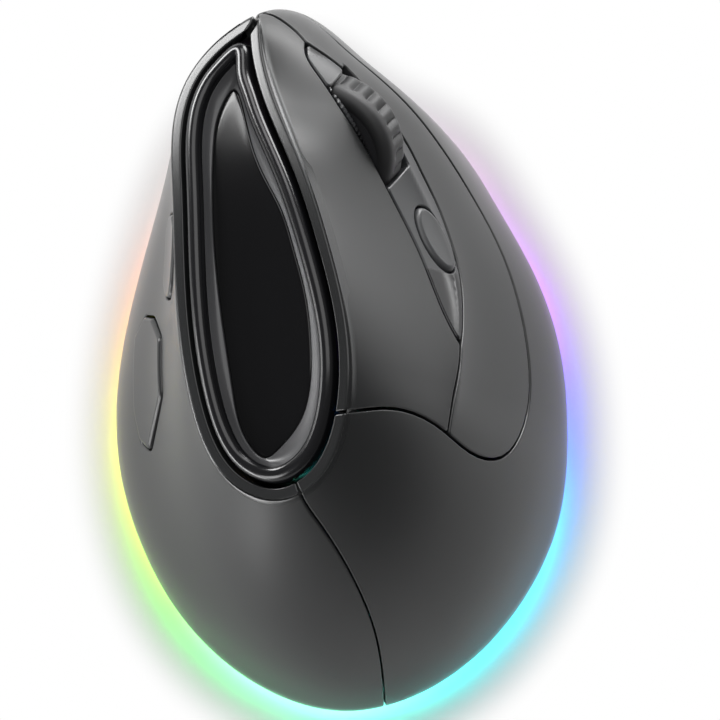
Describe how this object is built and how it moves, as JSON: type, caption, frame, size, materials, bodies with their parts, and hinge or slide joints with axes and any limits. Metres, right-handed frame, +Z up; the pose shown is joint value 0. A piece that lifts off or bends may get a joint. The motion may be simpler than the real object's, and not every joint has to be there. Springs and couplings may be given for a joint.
{
  "type": "upright computer mouse",
  "caption": "Upright right-handed computer mouse with sloped main buttons, a scroll wheel, thumb buttons, a smoked panel in an oval loop and a lit base ring.",
  "frame": {"origin": "centre of the overall box in plan, on the table surface", "axes": "+Y towards the nose, +X towards the finger side, +Z up"},
  "size_m": [0.0799, 0.1191, 0.0725],
  "materials": {
    "shell_plastic": "fine matte texture, dark grey",
    "button_plastic": "fine matte texture, dark grey",
    "bead_plastic": "polished black",
    "well_plastic": "polished grey",
    "panel_plastic": "smoked, polished",
    "cap_plastic": "satin grey",
    "wheel_rubber": "ribbed black rubber",
    "inner_plastic": "plain moulded black",
    "switch_plastic": "moulded black",
    "pin_plastic": "white moulded",
    "board_resin": "green lacquered board",
    "chip_resin": "black moulded chip",
    "glide_plastic": "slippery black",
    "ring_diffuser": "milky clear diffuser",
    "lamp_resin": "lit coloured lamps",
    "lens_plastic": "clear lens",
    "steel": "plain steel",
    "socket_steel": "drawn steel",
    "battery_wrap": "silver-grey wrap",
    "ribbon_plastic": "amber flat cable"
  },
  "bodies": {
    "base": {"back_switch": "switch_plastic", "base_plate": "inner_plastic", "base_screws": "steel", "battery": "battery_wrap", "board_screws": "steel", "button_board": "board_resin", "centre_panel": "panel_plastic", "dpi_switch": "switch_plastic", "forward_switch": "switch_plastic", "front_glide": "glide_plastic", "hinge_rod": "steel", "inner_frame": "inner_plastic", "left_glide": "glide_plastic", "left_switch": "switch_plastic", "light_ring": "ring_diffuser", "main_board": "board_resin", "palm_shell": "shell_plastic", "panel_well": "well_plastic", "power_switch": "switch_plastic", "processor": "chip_resin", "rear_glide": "glide_plastic", "ribbon_cable": "ribbon_plastic", "right_glide": "glide_plastic", "right_switch": "switch_plastic", "ring_board": "board_resin", "ring_leds": "lamp_resin", "sensor": "chip_resin", "sensor_lens": "lens_plastic", "side_board": "board_resin", "side_bracket": "inner_plastic", "thumb_shell": "shell_plastic", "trim_ring": "bead_plastic", "usb_socket": "socket_steel", "wheel_cap": "cap_plastic", "wheel_strip": "shell_plastic", "wheel_switch": "switch_plastic"},
    "left_button": {"left_button": "button_plastic", "left_pin": "pin_plastic"},
    "right_button": {"right_button": "button_plastic", "right_pin": "pin_plastic"},
    "wheel_carrier": {"wheel_carrier": "inner_plastic", "wheel_encoder": "switch_plastic", "wheel_pin": "pin_plastic"},
    "scroll_wheel": {"wheel_tyre": "wheel_rubber", "wheel_hub": "inner_plastic", "wheel_axle": "steel"},
    "dpi_button": {"dpi_button": "button_plastic", "dpi_pin": "pin_plastic"},
    "back_button": {"back_button": "button_plastic", "back_pin": "pin_plastic"},
    "forward_button": {"forward_button": "button_plastic", "forward_pin": "pin_plastic"},
    "power_slider": {"power_slider": "inner_plastic"}
  },
  "joints": [
    {"name": "left_click", "type": "hinge", "parent": "base", "child": "left_button", "pos_m": [0.012, -0.0087, 0.04614], "axis": [-0.6428, 0, 0.766], "range_deg": [0, 0.5], "stiffness_Nm_per_rad": 2, "springref_deg": -0.57},
    {"name": "right_click", "type": "hinge", "parent": "base", "child": "right_button", "pos_m": [0.012, -0.0087, 0.04614], "axis": [-0.6428, 0, 0.766], "range_deg": [0, 0.5], "stiffness_Nm_per_rad": 2, "springref_deg": -0.57},
    {"name": "wheel_click", "type": "slide", "parent": "base", "child": "wheel_carrier", "axis": [-0.7881, -0.1165, -0.6045], "range_m": [0, 0.0005], "stiffness_N_per_m": 2000, "springref_m": -0.0003},
    {"name": "wheel_turn", "type": "hinge", "parent": "wheel_carrier", "child": "scroll_wheel", "pos_m": [-0.0009, 0.0349, 0.0445], "axis": [-0.4286, -0.601, 0.6746], "continuous": true},
    {"name": "dpi_click", "type": "slide", "parent": "base", "child": "dpi_button", "axis": [-0.766, 0, -0.6428], "range_m": [0, 0.0005], "stiffness_N_per_m": 1500, "springref_m": -0.0003},
    {"name": "back_click", "type": "slide", "parent": "base", "child": "back_button", "axis": [0.8713, 0, -0.4907], "range_m": [0, 0.0005], "stiffness_N_per_m": 1500, "springref_m": -0.0003},
    {"name": "forward_click", "type": "slide", "parent": "base", "child": "forward_button", "axis": [0.8713, 0, -0.4907], "range_m": [0, 0.0005], "stiffness_N_per_m": 1500, "springref_m": -0.0003},
    {"name": "power_slide", "type": "slide", "parent": "base", "child": "power_slider", "axis": [0, -1, 0], "range_m": [0, 0.0025]}
  ]
}
